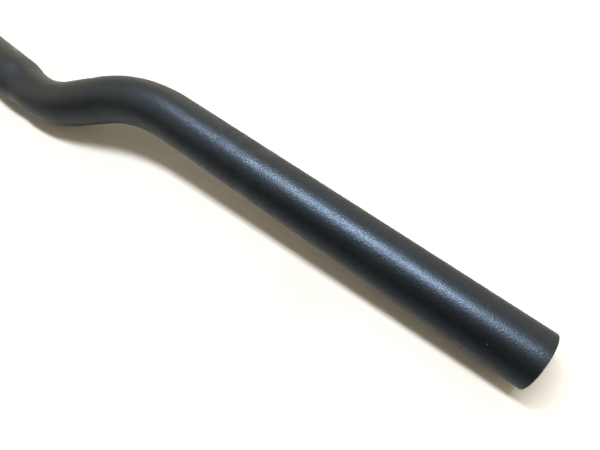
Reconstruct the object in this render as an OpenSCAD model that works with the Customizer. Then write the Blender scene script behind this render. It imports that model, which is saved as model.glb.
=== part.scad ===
// Riser handlebar for a bicycle.
// One drawn and bent alloy tube: a thicker centre section for the stem,
// a short swaged taper on each side of it, a riser with two bends, and a
// straight grip section that ends in an open, lightly rounded mouth.
// Millimetres. The origin is the middle of the centre section, +X runs
// along the bar to one grip and +Z is up. The bar lies as it comes to rest
// on a flat surface: on its centre section and on the lower edge of both
// tube ends, with the two risers arched clear of the surface.

/* [Centre section] */
// Outer diameter where the stem clamps the bar
clamp_d = 25.4; // [24.4:0.1:31.8]
// Length of the centre section at its full diameter
clamp_len = 88; // [60:1:120]
// Wall thickness of the centre section
clamp_wall = 2.6; // [2.2:0.1:3.2]
// Length of the swaged taper on each side of the centre section
swage_len = 14.5; // [10:0.5:40]
// Straight neck between the taper and the lower bend
neck_len = 3; // [1:0.5:20]

/* [Tube] */
// Outer diameter of the bends and the grips
tube_d = 22.2; // [22.2:0.1:23.8]
// Wall thickness of the bends and the grips
tube_wall = 2.2; // [1.6:0.1:2.8]

/* [Rise] */
// Angle of the riser to the centre section, in degrees
rise_angle = 30; // [20:1:40]
// Straight length of the riser between its two bends
riser_len = 22; // [5:1:50]
// Centre-line radius of the lower bend, beside the centre section
lower_bend_r = 70; // [45:1:90]
// Centre-line radius of the upper bend, beside the grip
upper_bend_r = 85; // [45:1:100]

/* [Sweep] */
// Angle by which the grips point back, in degrees
back_sweep = 6; // [3:0.5:12]
// Angle by which the grips point up, in degrees
up_sweep = 0; // [0:0.5:6]

/* [Grips] */
// Straight length of each grip, from the upper bend to the tube end
grip_len = 172; // [120:1:220]
// Radius of the rounded outer edge at each tube end
end_round = 0.6; // [0.2:0.1:0.8]
// Radius of the rounded inner edge at each tube end
mouth_round = 0.4; // [0.2:0.1:0.6]

/* [Hidden] */
$fn = 96;

clamp_r = clamp_d / 2;
tube_r = tube_d / 2;
clamp_bore_r = clamp_r - clamp_wall;
tube_bore_r = tube_r - tube_wall;
half_clamp = clamp_len / 2;
over = 2; // the bore runs this far out of each mouth
bend_draw = 0.02; // a bend is this much less in radius than the tube
bend_lap = 1; // a bend reaches this far into the straight lengths beside it
lead = 0.6; // a straight length narrows towards a bend over this distance

// The direction of the grip, in the bar's own plane: x along the bar,
// y the way it rises, z square to both.
grip_dir = [cos(back_sweep) * cos(up_sweep), cos(back_sweep) * sin(up_sweep), -sin(back_sweep)];
// The same direction seen from the end of the riser
riser_x = grip_dir[0] * cos(rise_angle) + grip_dir[1] * sin(rise_angle);
riser_y = -grip_dir[0] * sin(rise_angle) + grip_dir[1] * cos(rise_angle);
riser_z = grip_dir[2];
// Turn of the upper bend, and the roll of the plane that it lies in
upper_angle = acos(riser_x);
upper_roll = atan2(riser_z, riser_y);

// Where the tube end is, in the bar's own plane
lower_end = [half_clamp + swage_len + neck_len + lower_bend_r * sin(rise_angle),
             lower_bend_r * (1 - cos(rise_angle)), 0];
riser_end = lower_end + riser_len * [cos(rise_angle), sin(rise_angle), 0];
bend_a = upper_bend_r * sin(upper_angle);
bend_b = upper_bend_r * (1 - cos(upper_angle));
side_y = cos(upper_roll);
side_z = sin(upper_roll);
upper_end = riser_end + [bend_a * cos(rise_angle) - bend_b * side_y * sin(rise_angle),
                         bend_a * sin(rise_angle) + bend_b * side_y * cos(rise_angle),
                         bend_b * side_z];
tip = upper_end + grip_len * grip_dir;

// How far the bar is rolled about its length when it has come to rest:
// the rounded lower edge of each tube end is then level with the
// underside of the centre section.
tip_reach = norm([tip[1], tip[2]]);
tip_lean = atan2(tip[2], tip[1]);
function edge_drop(slope) =
    end_round * slope + (tube_r - end_round) * sqrt(1 - slope * slope) + end_round - clamp_r;
function settle(roll, n) = n == 0 ? roll :
    settle(asin(edge_drop(grip_dir[1] * sin(roll) + grip_dir[2] * cos(roll)) / tip_reach) - tip_lean, n - 1);
rest_roll = settle(25, 12);

// A straight length of round bar that starts at the origin and runs along +X.
// Both its ends narrow by a hair, to lead into the bends beside it.
module straight(r, len) {
    rotate([0, 90, 0]) rotate_extrude()
        polygon([[0, 0], [r - 2 * bend_draw, 0], [r, lead], [r, len - lead],
                 [r - 2 * bend_draw, len], [0, len]]);
}

// A bend that leaves the origin along +X and turns towards +Y. Bending draws
// the tube in by a hair, and the bend reaches a little into the straight
// lengths at both its ends, so that the bar is one solid.
module bend(r, bend_r, turn) {
    lap = bend_lap / bend_r * 180 / PI;
    translate([0, bend_r, 0]) rotate([0, 0, -90 - lap])
        rotate_extrude(angle = turn + 2 * lap) translate([bend_r, 0]) circle(r = r - bend_draw);
}

// Places what follows at the far end of such a bend
module after_bend(bend_r, turn) {
    translate([0, bend_r, 0]) rotate([0, 0, turn]) translate([0, -bend_r, 0]) children();
}

// The middle of the bar as a solid rod: the centre section, an S-shaped swage
// down from r1 to r2 on each side of it, and the two necks
function ease(t) = t * t * (3 - 2 * t);
module middle(r1, r2) {
    steps = 14;
    flank = [for (i = [0:steps]) [r1 + (r2 - r1) * ease(i / steps), half_clamp + swage_len * i / steps]];
    reach = half_clamp + swage_len + neck_len;
    rotate([0, 90, 0]) rotate_extrude()
        polygon(concat([[0, -reach], [r2 - 2 * bend_draw, -reach], [r2, lead - reach]],
            [for (i = [steps:-1:0]) [flank[i][0], -flank[i][1]]],
            flank,
            [[r2, reach - lead], [r2 - 2 * bend_draw, reach], [0, reach]]));
}

// The straight grip, with the rounded outer edge of the tube end
module grip_outside() {
    steps = 6;
    rotate([0, 90, 0]) rotate_extrude()
        polygon(concat([[0, 0], [tube_r - 2 * bend_draw, 0], [tube_r, lead]],
            [for (i = [0:steps]) [tube_r - end_round * (1 - cos(90 * i / steps)),
                                  grip_len - end_round * (1 - sin(90 * i / steps))]],
            [[0, grip_len]]));
}

// The bore of the grip, with the rounded inner edge at its mouth
module grip_bore() {
    steps = 5;
    rotate([0, 90, 0]) rotate_extrude()
        polygon(concat([[0, 0], [tube_bore_r - 2 * bend_draw, 0], [tube_bore_r, lead]],
            [for (i = [0:steps]) [tube_bore_r + mouth_round * (1 - cos(90 * i / steps)),
                                  grip_len - mouth_round * (1 - sin(90 * i / steps))]],
            [[tube_bore_r + mouth_round, grip_len + over], [0, grip_len + over]]));
}

// One side of the bar beyond the neck, as a solid rod of radius r. The grip
// itself is the child.
module side(r) {
    translate([half_clamp + swage_len + neck_len, 0, 0]) {
        bend(r, lower_bend_r, rise_angle);
        after_bend(lower_bend_r, rise_angle) {
            straight(r, riser_len);
            translate([riser_len, 0, 0]) rotate([upper_roll, 0, 0]) {
                bend(r, upper_bend_r, upper_angle);
                after_bend(upper_bend_r, upper_angle) children();
            }
        }
    }
}

module rod() {
    middle(clamp_r, tube_r);
    side(tube_r) grip_outside();
    mirror([1, 0, 0]) side(tube_r) grip_outside();
}

module hollow() {
    middle(clamp_bore_r, tube_bore_r);
    side(tube_bore_r) grip_bore();
    mirror([1, 0, 0]) side(tube_bore_r) grip_bore();
}

module handlebar() {
    color([0.055, 0.058, 0.062]) rotate([rest_roll, 0, 0])
        difference() {
            rod();
            hollow();
        }
}

handlebar();
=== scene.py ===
import math

import bpy
import numpy as np
from mathutils import Matrix, Vector


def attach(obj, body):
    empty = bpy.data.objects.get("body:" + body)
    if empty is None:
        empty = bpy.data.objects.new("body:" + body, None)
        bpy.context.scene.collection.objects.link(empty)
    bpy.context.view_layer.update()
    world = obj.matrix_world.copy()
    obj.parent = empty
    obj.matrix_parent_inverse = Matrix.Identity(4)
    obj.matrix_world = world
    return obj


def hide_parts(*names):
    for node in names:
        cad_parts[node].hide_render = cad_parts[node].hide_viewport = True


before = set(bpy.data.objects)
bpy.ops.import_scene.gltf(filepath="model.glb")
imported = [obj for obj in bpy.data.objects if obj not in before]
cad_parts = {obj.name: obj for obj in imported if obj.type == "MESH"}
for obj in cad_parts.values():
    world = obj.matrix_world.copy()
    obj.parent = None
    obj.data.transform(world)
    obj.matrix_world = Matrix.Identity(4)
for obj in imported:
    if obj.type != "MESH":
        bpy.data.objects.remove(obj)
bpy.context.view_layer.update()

# ---------------------------------------------------------------- sizes, mm
CLAMP_R, TUBE_R = 12.7, 11.1
CLAMP_BORE_R, TUBE_BORE_R = 10.1, 8.9
HALF_CLAMP, SWAGE, NECK = 44.0, 14.5, 3.0
RISE = math.radians(30.0)
BACK = math.radians(6.0)
RISER = 22.0
LOWER_R, UPPER_R = 70.0, 85.0
GRIP = 172.0
END_ROUND, MOUTH_ROUND = 0.6, 0.4
DRAW, LEAD = 0.02, 0.6
AROUND = 96
FLOOR_Z = -0.0127


# ------------------------------------------------- centre line of the bar
def rot_x(a):
    c, s = math.cos(a), math.sin(a)
    return np.array([[1, 0, 0], [0, c, -s], [0, s, c]])


def rot_z(a):
    c, s = math.cos(a), math.sin(a)
    return np.array([[c, -s, 0], [s, c, 0], [0, 0, 1]])


GRIP_DIR = np.array([math.cos(BACK), 0.0, -math.sin(BACK)])
LOCAL = rot_z(RISE).T @ GRIP_DIR
UPPER = math.acos(LOCAL[0])
ROLL = math.atan2(LOCAL[2], LOCAL[1])

# start of each stretch of one side, with its frame
X_SWAGE = HALF_CLAMP
X_NECK = X_SWAGE + SWAGE
X_BEND = X_NECK + NECK
o1 = np.array([X_BEND, 0, 0])
m1 = np.eye(3)
o2 = o1 + m1 @ np.array([LOWER_R * math.sin(RISE), LOWER_R * (1 - math.cos(RISE)), 0])
m2 = m1 @ rot_z(RISE)
o3 = o2 + m2 @ np.array([RISER, 0, 0])
m3 = m2 @ rot_x(ROLL)
o4 = o3 + m3 @ np.array([UPPER_R * math.sin(UPPER), UPPER_R * (1 - math.cos(UPPER)), 0])
m4 = m3 @ rot_z(UPPER)
S1 = X_BEND
S2 = S1 + LOWER_R * RISE
S3 = S2 + RISER
S4 = S3 + UPPER_R * UPPER
S5 = S4 + GRIP
TIP = o4 + m4 @ np.array([GRIP, 0, 0])


def rest_roll():
    """The roll at which the rounded lower edge of each end is level with the underside of the centre."""
    reach, lean, roll = math.hypot(TIP[1], TIP[2]), math.atan2(TIP[2], TIP[1]), math.radians(25)
    for _ in range(12):
        slope = GRIP_DIR[1] * math.sin(roll) + GRIP_DIR[2] * math.cos(roll)
        drop = END_ROUND * slope + (TUBE_R - END_ROUND) * math.sqrt(1 - slope * slope) + END_ROUND - CLAMP_R
        roll = math.asin(drop / reach) - lean
    return roll


LIE = rot_x(rest_roll())


def on_side(s):
    """Point and direction of the centre line, s mm along it from the middle, on the +X side."""
    if s <= S1:
        p, t = np.array([s, 0.0, 0.0]), np.array([1.0, 0.0, 0.0])
    elif s <= S2:
        a = (s - S1) / LOWER_R
        p = o1 + m1 @ np.array([LOWER_R * math.sin(a), LOWER_R * (1 - math.cos(a)), 0])
        t = m1 @ np.array([math.cos(a), math.sin(a), 0])
    elif s <= S3:
        p, t = o2 + m2 @ np.array([s - S2, 0, 0]), m2[:, 0]
    elif s <= S4:
        a = (s - S3) / UPPER_R
        p = o3 + m3 @ np.array([UPPER_R * math.sin(a), UPPER_R * (1 - math.cos(a)), 0])
        t = m3 @ np.array([math.cos(a), math.sin(a), 0])
    else:
        p, t = o4 + m4 @ np.array([s - S4, 0, 0]), m4[:, 0]
    return LIE @ p, LIE @ t


def centre_line(s):
    p, t = on_side(abs(s))
    if s < 0:
        p, t = p * [-1, 1, 1], t * [1, -1, -1]
    return p, t


def ease(t):
    t = min(max(t, 0.0), 1.0)
    return t * t * (3 - 2 * t)


def radius(s, thick, thin):
    """Thick in the centre, down the swage to thin, and a hair less in the two bends."""
    s = abs(s)
    if s <= X_NECK:
        return thick + (thin - thick) * ease((s - X_SWAGE) / SWAGE)
    for a, b in ((S1, S2), (S3, S4)):
        if a - LEAD <= s <= b + LEAD:
            return thin - DRAW * min(1.0, (s - a + LEAD) / LEAD, (b + LEAD - s) / LEAD)
    return thin


# ---------------------------------------------------- stations along the bar
def stretch(a, b, step):
    n = max(1, round((b - a) / step))
    return [a + (b - a) * i / n for i in range(n)]


END = S5 - END_ROUND
half = (
    stretch(0, X_SWAGE, 4.0)
    + stretch(X_SWAGE, X_NECK, 0.75)
    + stretch(X_NECK, S1 - LEAD, 1.2)
    + stretch(S1 - LEAD, S1, 0.3)
    + stretch(S1, S2, 1.25)
    + stretch(S2, S2 + LEAD, 0.3)
    + stretch(S2 + LEAD, S3 - LEAD, 2.6)
    + stretch(S3 - LEAD, S3, 0.3)
    + stretch(S3, S4, 1.35)
    + stretch(S4, S4 + LEAD, 0.3)
    + stretch(S4 + LEAD, END, 4.0)
)
stations = [-s for s in reversed(half[1:])] + half


def carried_frames(line):
    """One cross direction per station, carried along without twist."""
    out, e = [], None
    for s in line:
        t = centre_line(s)[1]
        e = np.array([0.0, 0.0, 1.0]) if e is None else e
        e = e - t * (e @ t)
        e = e / np.linalg.norm(e)
        out.append(e)
    return out


crosses = dict(zip(stations, carried_frames(stations)))
TURN = 2 * np.pi * np.arange(AROUND) / AROUND


def ring(s, r, e):
    p, t = centre_line(s)
    e = e - t * (e @ t)
    e = e / np.linalg.norm(e)
    f = np.cross(t, e)
    return p[None] + r * (np.cos(TURN)[:, None] * e[None] + np.sin(TURN)[:, None] * f[None])


def lip(side):
    """The rounded rim, from the outside of the tube to its bore, as (distance, radius)."""
    out = []
    for i in range(0, 9):
        a = math.radians(90 * i / 8)
        out.append((S5 - END_ROUND * (1 - math.sin(a)), TUBE_R - END_ROUND * (1 - math.cos(a))))
    for i in range(6, -1, -1):
        a = math.radians(90 * i / 6)
        out.append((S5 - MOUTH_ROUND * (1 - math.sin(a)), TUBE_BORE_R + MOUTH_ROUND * (1 - math.cos(a))))
    return [(side * s, r) for s, r in out]


HAIR = 0.014  # the rings are this much less in radius, to stay within the box of the modelled bar
rings = []
for s in stations:
    rings.append(ring(s, radius(s, CLAMP_R, TUBE_R) - HAIR, crosses[s]))
for s, r in lip(1):
    rings.append(ring(s, r - HAIR, crosses[stations[-1]]))
for s in reversed(stations):
    rings.append(ring(s, radius(s, CLAMP_BORE_R, TUBE_BORE_R) - HAIR, crosses[s]))
for s, r in reversed(lip(-1)):
    rings.append(ring(s, r - HAIR, crosses[stations[0]]))
verts = np.concatenate(rings) * 0.001
count = len(rings)
faces = []
for i in range(count):
    j = (i + 1) % count
    for k in range(AROUND):
        n = (k + 1) % AROUND
        faces.append((i * AROUND + k, i * AROUND + n, j * AROUND + n, j * AROUND + k))
faces = np.array(faces)


def enclosed(v, f):
    a, b, c, d = (v[f[:, i]] for i in range(4))
    return (np.einsum("ij,ij->i", a, np.cross(b, c)) + np.einsum("ij,ij->i", a, np.cross(c, d))).sum() / 6


if enclosed(verts, faces) < 0:
    faces = faces[:, ::-1]
mesh = bpy.data.meshes.new("riser_bar_tube")
mesh.from_pydata(verts.tolist(), [], faces.tolist())
mesh.update()
mesh.shade_smooth()
bar = bpy.data.objects.new("riser_bar_tube", mesh)
bpy.context.scene.collection.objects.link(bar)


# ---------------------------------------------------------------- materials
def nodes_of(name):
    mat = bpy.data.materials.new(name)
    mat.use_nodes = True
    tree = mat.node_tree
    tree.nodes.clear()
    out = tree.nodes.new("ShaderNodeOutputMaterial")
    bsdf = tree.nodes.new("ShaderNodeBsdfPrincipled")
    tree.links.new(bsdf.outputs[0], out.inputs[0])
    return mat, tree, bsdf


def noise(tree, where, scale, detail=2.0, rough=0.5):
    n = tree.nodes.new("ShaderNodeTexNoise")
    n.inputs["Scale"].default_value = scale
    n.inputs["Detail"].default_value = detail
    n.inputs["Roughness"].default_value = rough
    tree.links.new(where, n.inputs["Vector"])
    return n.outputs["Fac"]


def ranged(tree, value, a, b, c, d):
    n = tree.nodes.new("ShaderNodeMapRange")
    n.inputs[1].default_value, n.inputs[2].default_value = a, b
    n.inputs[3].default_value, n.inputs[4].default_value = c, d
    tree.links.new(value, n.inputs[0])
    return n.outputs[0]


def math_node(tree, op, a, b=None):
    n = tree.nodes.new("ShaderNodeMath")
    n.operation = op
    for i, x in enumerate((a, b)):
        if x is None:
            continue
        if isinstance(x, (int, float)):
            n.inputs[i].default_value = x
        else:
            tree.links.new(x, n.inputs[i])
    return n.outputs[0]


def mixed(tree, fac, a, b):
    n = tree.nodes.new("ShaderNodeMix")
    n.data_type = "RGBA"
    for key, x in ((0, fac), (6, a), (7, b)):
        if isinstance(x, (int, float, tuple)):
            n.inputs[key].default_value = x
        else:
            tree.links.new(x, n.inputs[key])
    return n.outputs[2]


mat, tree, bsdf = nodes_of("black_satin_alloy")
co = tree.nodes.new("ShaderNodeTexCoord").outputs["Object"]
fine = noise(tree, co, 1500, 2.0, 0.6)
pits = noise(tree, co, 850, 2.0, 0.5)
cloud = noise(tree, co, 60, 3.0, 0.6)
drift = noise(tree, co, 12, 2.0, 0.5)
tone = ranged(tree, math_node(tree, "ADD", math_node(tree, "MULTIPLY", fine, 0.6), math_node(tree, "MULTIPLY", cloud, 0.4)), 0.3, 0.7, 0.0, 1.0)
colour = mixed(tree, tone, (0.0015, 0.0019, 0.0020, 1), (0.0028, 0.0034, 0.0035, 1))


def vector_node(tree, op, a, b):
    n = tree.nodes.new("ShaderNodeVectorMath")
    n.operation = op
    for i, x in enumerate((a, b)):
        if isinstance(x, tuple):
            n.inputs[i].default_value = x
        else:
            tree.links.new(x, n.inputs[i])
    return n.outputs["Value"] if op in ("DOT_PRODUCT", "DISTANCE") else n.outputs["Vector"]


# rub rings that a lever clamp left round the right-hand grip, by distance from the tube end in mm:
# over 0.5 is burnished, under 0.5 is dulled
tip, towards = LIE @ TIP * 0.001, LIE @ m4[:, 0]
inward = vector_node(tree, "DOT_PRODUCT", vector_node(tree, "SUBTRACT", tuple(float(v) for v in tip), co), tuple(float(v) for v in towards))
marks = [
    (100.0, 0.50), (104.0, 0.50), (105.5, 0.40), (107.5, 0.40), (109.0, 0.52), (111.0, 0.58), (113.0, 0.52),
    (115.5, 0.36), (118.0, 0.42), (119.5, 0.78), (122.5, 0.98), (125.3, 0.80), (126.7, 0.28), (129.5, 0.20),
    (131.6, 0.30), (133.0, 0.56), (135.6, 0.56), (137.0, 0.18), (137.8, 0.26), (138.6, 0.54), (139.6, 0.50),
    (140.3, 0.04), (141.2, 0.08), (142.2, 0.50), (145.0, 0.50),
]
rings_at = tree.nodes.new("ShaderNodeValToRGB")
tree.links.new(ranged(tree, inward, 0.100, 0.145, 0.0, 1.0), rings_at.inputs[0])
spots = rings_at.color_ramp.elements
for i, (mm, level) in enumerate(marks):
    spot = spots[0] if i == 0 else spots[len(spots) - 1] if i == len(marks) - 1 else spots.new((mm - 100) / 45)
    spot.position, spot.color = (mm - 100) / 45, (level, level, level, 1)
worn = math_node(tree, "MULTIPLY", math_node(tree, "SUBTRACT", 0.5, rings_at.outputs[0]), ranged(tree, noise(tree, co, 170, 2.0, 0.6), 0.35, 0.62, 0.035, 0.14))

# the same rings are a shade lighter or darker than the finish beside them
shaded = tree.nodes.new("ShaderNodeVectorMath")
shaded.operation = "SCALE"
tree.links.new(colour, shaded.inputs[0])
tree.links.new(math_node(tree, "MAXIMUM", math_node(tree, "ADD", math_node(tree, "MULTIPLY", math_node(tree, "SUBTRACT", rings_at.outputs[0], 0.5), 1.9), 1.0), 0.05), shaded.inputs["Scale"])
colour = shaded.outputs["Vector"]

# sparse specks of dust, and one nick in the finish of the centre section with a painted glint on it
cells = tree.nodes.new("ShaderNodeTexVoronoi")
cells.inputs["Scale"].default_value = 130
tree.links.new(co, cells.inputs["Vector"])
kept = tree.nodes.new("ShaderNodeSeparateColor")
tree.links.new(cells.outputs["Color"], kept.inputs[0])
dust = math_node(tree, "MULTIPLY", ranged(tree, cells.outputs["Distance"], 0.028, 0.052, 1.0, 0.0), ranged(tree, kept.outputs[0], 0.46, 0.50, 0.0, 1.0))
away = math_node(tree, "ADD", vector_node(tree, "DISTANCE", co, (0.0323, 0.0102, 0.0075)), ranged(tree, fine, 0.3, 0.7, -0.0006, 0.0006))
nick_glint = ranged(tree, away, 0.0009, 0.0014, 1.0, 0.0)
colour = mixed(tree, dust, colour, (0.085, 0.085, 0.083, 1))
# painted glint: the nick's spot is given a light colour
colour = mixed(tree, nick_glint, colour, (0.10, 0.10, 0.098, 1))
tree.links.new(colour, bsdf.inputs["Base Color"])
rough = math_node(
    tree,
    "ADD",
    ranged(tree, cloud, 0.3, 0.7, -0.02, 0.02),
    ranged(tree, math_node(tree, "ADD", math_node(tree, "MULTIPLY", pits, 0.7), math_node(tree, "MULTIPLY", drift, 0.3)), 0.3, 0.7, 0.37, 0.43),
)
tree.links.new(math_node(tree, "ADD", rough, worn), bsdf.inputs["Roughness"])
bump = tree.nodes.new("ShaderNodeBump")
# the grips' ends are rubbed a little smoother than the rest
out_along = tree.nodes.new("ShaderNodeSeparateXYZ")
tree.links.new(co, out_along.inputs[0])
tree.links.new(ranged(tree, math_node(tree, "ABSOLUTE", out_along.outputs["X"]), 0.22, 0.30, 1.0, 0.58), bump.inputs["Strength"])
bump.inputs["Distance"].default_value = 0.00018
tree.links.new(math_node(tree, "ADD", math_node(tree, "MULTIPLY", fine, 0.7), math_node(tree, "MULTIPLY", pits, 0.3)), bump.inputs["Height"])
tree.links.new(bump.outputs["Normal"], bsdf.inputs["Normal"])
bsdf.inputs["IOR"].default_value = 1.5
bsdf.inputs["Specular IOR Level"].default_value = 0.435
bsdf.inputs["Specular Tint"].default_value = (0.60, 0.755, 1.0, 1)
mesh.materials.append(mat)

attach(bar, "root")
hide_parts("handlebar")

# -------------------------------------------------------------------- stage
floor_mesh = bpy.data.meshes.new("floor")
w = 6.0
floor_mesh.from_pydata([(-w, -w, FLOOR_Z), (w, -w, FLOOR_Z), (w, w, FLOOR_Z), (-w, w, FLOOR_Z)], [], [(0, 1, 2, 3)])
floor = bpy.data.objects.new("floor", floor_mesh)
bpy.context.scene.collection.objects.link(floor)
fmat, ftree, fbsdf = nodes_of("pale_floor")
fco = ftree.nodes.new("ShaderNodeTexCoord").outputs["Object"]
ftone = ranged(ftree, noise(ftree, fco, 18, 4.0, 0.6), 0.3, 0.7, 0.0, 1.0)
ftree.links.new(mixed(ftree, ftone, (0.230, 0.230, 0.228, 1), (0.250, 0.250, 0.248, 1)), fbsdf.inputs["Base Color"])
fbsdf.inputs["Roughness"].default_value = 0.8
fbsdf.inputs["Specular IOR Level"].default_value = 0.2
floor_mesh.materials.append(fmat)


# ------------------------------------------------------------------- lights
def area(name, where, aim, size, power, colour, along):
    data = bpy.data.lights.new(name, "AREA")
    data.shape = "RECTANGLE"
    data.size, data.size_y = size
    data.energy = power
    data.color = colour
    ob = bpy.data.objects.new(name, data)
    z = (Vector(where) - Vector(aim)).normalized()
    x = Vector(along)
    x = (x - z * x.dot(z)).normalized()
    y = z.cross(x)
    ob.matrix_world = Matrix.Translation(Vector(where)) @ Matrix((x, y, z)).transposed().to_4x4()
    ob.visible_camera = False
    bpy.context.scene.collection.objects.link(ob)
    return ob


AIM = (0.12, 0.02, FLOOR_Z)
area("key", (0.12, 0.122, 0.95 + FLOOR_Z), AIM, (0.76, 0.13), 31.0, (0.97, 0.987, 1.0), (1, 0.11, 0))
area("fill", (2.00, -0.15, 0.85 + FLOOR_Z), AIM, (0.8, 0.8), 17.0, (1.0, 0.85, 0.58), (0, 1, 0))
area("side", (0.12 - 1.01, 0.02 - 0.90, 1.19 + FLOOR_Z), AIM, (1.0, 1.0), 4.0, (0.97, 0.99, 1.0), (1, 0, 0))

world = bpy.data.worlds.new("soft_room")
bpy.context.scene.world = world
world.use_nodes = True
wt = world.node_tree
wt.nodes.clear()
wout = wt.nodes.new("ShaderNodeOutputWorld")
back = wt.nodes.new("ShaderNodeBackground")
wt.links.new(back.outputs[0], wout.inputs[0])
wco = wt.nodes.new("ShaderNodeTexCoord").outputs["Generated"]
across = wt.nodes.new("ShaderNodeVectorMath")
across.operation = "DOT_PRODUCT"
across.inputs[1].default_value = (-0.25, 0.97, 0.0)
wt.links.new(wco, across.inputs[0])
place = wt.nodes.new("ShaderNodeMapRange")
place.inputs[1].default_value, place.inputs[2].default_value = -1.0, 1.0
wt.links.new(across.outputs["Value"], place.inputs[0])
ramp = wt.nodes.new("ShaderNodeValToRGB")
wt.links.new(place.outputs[0], ramp.inputs[0])
WARM = (1.0, 0.90, 0.71)
for stop, level in zip(ramp.color_ramp.elements, (0.03, 1.0)):
    stop.color = (*(level * v for v in WARM), 1)
apart = wt.nodes.new("ShaderNodeSeparateXYZ")
wt.links.new(wco, apart.inputs[0])
right = wt.nodes.new("ShaderNodeMapRange")
right.interpolation_type = "SMOOTHSTEP"
right.inputs[1].default_value, right.inputs[2].default_value = 0.50, 0.95
right.inputs[3].default_value, right.inputs[4].default_value = 0.0, 1.5
wt.links.new(apart.outputs["X"], right.inputs[0])
glow = wt.nodes.new("ShaderNodeVectorMath")
glow.operation = "SCALE"
glow.inputs[0].default_value = (1.0, 0.86, 0.60)
wt.links.new(right.outputs[0], glow.inputs["Scale"])
total = wt.nodes.new("ShaderNodeVectorMath")
total.operation = "ADD"
wt.links.new(ramp.outputs[0], total.inputs[0])
wt.links.new(glow.outputs[0], total.inputs[1])
# a darker stretch of the room at the far left
facing = wt.nodes.new("ShaderNodeVectorMath")
facing.operation = "DOT_PRODUCT"
facing.inputs[1].default_value = tuple(Vector((-0.88, 0.28, 0.38)).normalized())
wt.links.new(wco, facing.inputs[0])
dim = wt.nodes.new("ShaderNodeMapRange")
dim.interpolation_type = "SMOOTHSTEP"
dim.inputs[1].default_value, dim.inputs[2].default_value = 0.883, 0.985
dim.inputs[3].default_value, dim.inputs[4].default_value = 1.0, 0.5
wt.links.new(facing.outputs["Value"], dim.inputs[0])
dimmed = wt.nodes.new("ShaderNodeVectorMath")
dimmed.operation = "SCALE"
wt.links.new(total.outputs[0], dimmed.inputs[0])
wt.links.new(dim.outputs[0], dimmed.inputs["Scale"])
wt.links.new(dimmed.outputs[0], back.inputs[0])
back.inputs[1].default_value = 2.65

# ------------------------------------------------------------------- camera
YAW, PITCH, TILT = math.radians(55.59), math.radians(59.87), math.radians(-15.79)
FOCAL_PX = 458.0
er = np.array([math.cos(YAW), math.sin(YAW), 0])
ef = np.array([-math.sin(YAW), math.cos(YAW), 0])
up = np.array([0, 0, 1.0])
rows = np.stack([er, -(math.sin(PITCH) * ef + math.cos(PITCH) * up), math.cos(PITCH) * ef - math.sin(PITCH) * up])
c, s = math.cos(TILT), math.sin(TILT)
rows = np.array([[c, -s, 0], [s, c, 0], [0, 0, 1]]) @ rows
cam_data = bpy.data.cameras.new("camera")
cam_data.sensor_fit = "HORIZONTAL"
cam_data.sensor_width = 36.0
cam_data.lens = FOCAL_PX * 36.0 / 600.0
cam_data.clip_start = 0.01
cam = bpy.data.objects.new("camera", cam_data)
turned = Matrix([list(rows[0]), list(-rows[1]), list(-rows[2])]).transposed()
cam.matrix_world = Matrix.Translation(Vector((0.31011, -0.02542, 0.17362 + FLOOR_Z))) @ turned.to_4x4()
bpy.context.scene.collection.objects.link(cam)
bpy.context.scene.camera = cam
bpy.context.scene.view_settings.view_transform = "Standard"
bpy.context.scene.view_settings.look = "None"
bpy.context.scene.view_settings.gamma = 0.82

bpy.context.view_layer.update()
